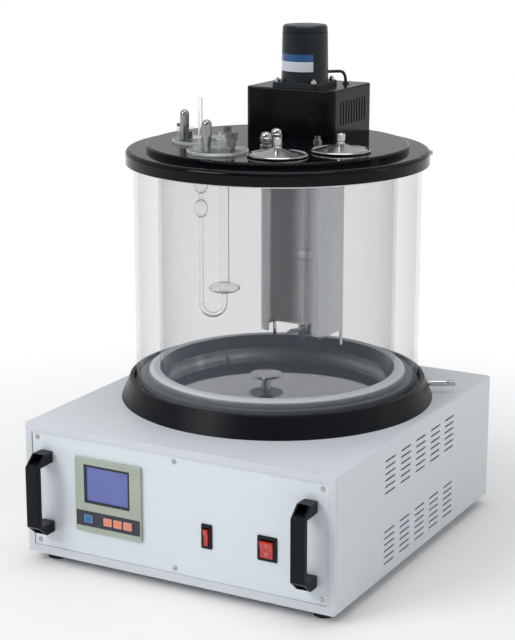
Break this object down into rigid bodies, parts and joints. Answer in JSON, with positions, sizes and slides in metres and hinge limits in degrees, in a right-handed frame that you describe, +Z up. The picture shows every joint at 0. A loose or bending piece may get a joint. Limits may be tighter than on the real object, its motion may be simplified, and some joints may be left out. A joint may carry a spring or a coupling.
{
  "type": "capillary viscometer in a viscosity bath",
  "caption": "Kinematic viscosity bath: a glass jar on a control cabinet, with stirrer, lid ports and a capillary viscometer in a holder",
  "frame": {"origin": "bottom centre of the overall box, on the bench", "axes": "X is the width of the front panel, Y runs from the panel to the back, Z is up"},
  "size_m": [0.435, 0.508, 0.6581],
  "materials": {
    "light_paint": "smooth pale grey-blue enamel",
    "panel_paint": "smooth pale panel enamel",
    "black_rubber": "matte",
    "black_plastic": "satin",
    "grey_green_plastic": "fine grain",
    "display": "dark frame, blue-violet screen",
    "blue_key": "satin",
    "orange_key": "satin",
    "red_rocker": "glossy translucent red",
    "nickel": "plated",
    "steel": "polished stainless",
    "dark_nickel": "knurled plating",
    "clear_glass": "clear",
    "clear_acrylic": "clear with frosted edges",
    "white_rubber": "smooth white",
    "grey_rubber": "smooth grey",
    "black_satin": "satin black",
    "gloss_black": "high gloss black",
    "motor_slate": "dark slate with a blue and white band",
    "cast_metal": "machined",
    "lead_rubber": "matte sheath",
    "board_green": "circuit board with parts",
    "dark_metal": "varnished",
    "bare_aluminium": "extruded"
  },
  "bodies": {
    "bath": {"base_plate": "light_paint", "base_ring": "black_satin", "bath_pan": "steel", "cabinet_shell": "light_paint", "clamp_blocks": "clear_acrylic", "control_board": "board_green", "dome_plugs": "nickel", "drain_pipe": "steel", "feet": "black_rubber", "floor_cap": "steel", "front_panel": "panel_paint", "handle_left": "black_plastic", "handle_right": "black_plastic", "handle_screws": "nickel", "heater": "steel", "holder_disc_front": "clear_acrylic", "holder_disc_rear": "clear_acrylic", "inner_glass": "clear_glass", "key_strip": "black_plastic", "lead_grommet": "black_rubber", "lid_disc": "gloss_black", "lid_lock_screws": "nickel", "lid_ring": "gloss_black", "lift_handles": "steel", "main_switch_body": "black_plastic", "meter_bezel": "grey_green_plastic", "meter_case": "black_plastic", "meter_display": "display", "motor": "motor_slate", "motor_flange": "cast_metal", "motor_housing": "gloss_black", "motor_lead": "lead_rubber", "motor_nuts": "nickel", "outer_glass": "clear_glass", "panel_screws": "nickel", "power_inlet": "black_plastic", "rear_panel": "light_paint", "relay_heat_sink": "bare_aluminium", "seal_rings": "grey_rubber", "shroud": "steel", "stirrer_switch_body": "black_plastic", "temperature_sensor": "steel", "thumb_screws": "dark_nickel", "transformer": "dark_metal", "viscometer": "clear_glass", "white_gasket": "white_rubber"},
    "stirrer": {"shaft_coupling": "steel", "stirrer_shaft": "steel", "propeller": "steel"},
    "stirrer_switch": {"stirrer_rocker": "red_rocker"},
    "main_switch": {"main_rocker": "red_rocker"},
    "key_1": {"key_blue": "blue_key"},
    "key_2": {"key_orange_1": "orange_key"},
    "key_3": {"key_orange_2": "orange_key"},
    "key_4": {"key_orange_3": "orange_key"},
    "right_port_lid": {"cone_lid_right": "steel", "lid_knob_right": "nickel"},
    "front_port_lid": {"cone_lid_front": "steel", "lid_knob_front": "nickel"}
  },
  "joints": [
    {"name": "stirrer_spin", "type": "hinge", "parent": "bath", "child": "stirrer", "pos_m": [0.0005, 0.116, 0.5349], "axis": [0, 0, 1], "continuous": true},
    {"name": "stirrer_switch_rock", "type": "hinge", "parent": "bath", "child": "stirrer_switch", "pos_m": [0.0453, -0.2175, 0.0791], "axis": [1, 0, 0], "range_deg": [-16, 0]},
    {"name": "main_switch_rock", "type": "hinge", "parent": "bath", "child": "main_switch", "pos_m": [0.1274, -0.2175, 0.0791], "axis": [1, 0, 0], "range_deg": [-16, 0]},
    {"name": "key_1_press", "type": "slide", "parent": "bath", "child": "key_1", "axis": [0, 1, 0], "range_m": [0, 0.0007], "stiffness_N_per_m": 300, "springref_m": -0.0005},
    {"name": "key_2_press", "type": "slide", "parent": "bath", "child": "key_2", "axis": [0, 1, 0], "range_m": [0, 0.0007], "stiffness_N_per_m": 300, "springref_m": -0.0005},
    {"name": "key_3_press", "type": "slide", "parent": "bath", "child": "key_3", "axis": [0, 1, 0], "range_m": [0, 0.0007], "stiffness_N_per_m": 300, "springref_m": -0.0005},
    {"name": "key_4_press", "type": "slide", "parent": "bath", "child": "key_4", "axis": [0, 1, 0], "range_m": [0, 0.0007], "stiffness_N_per_m": 300, "springref_m": -0.0005},
    {"name": "right_port_lid_lift", "type": "slide", "parent": "bath", "child": "right_port_lid", "axis": [0, 0, 1], "range_m": [0, 0.04]},
    {"name": "front_port_lid_lift", "type": "slide", "parent": "bath", "child": "front_port_lid", "axis": [0, 0, 1], "range_m": [0, 0.04]}
  ]
}
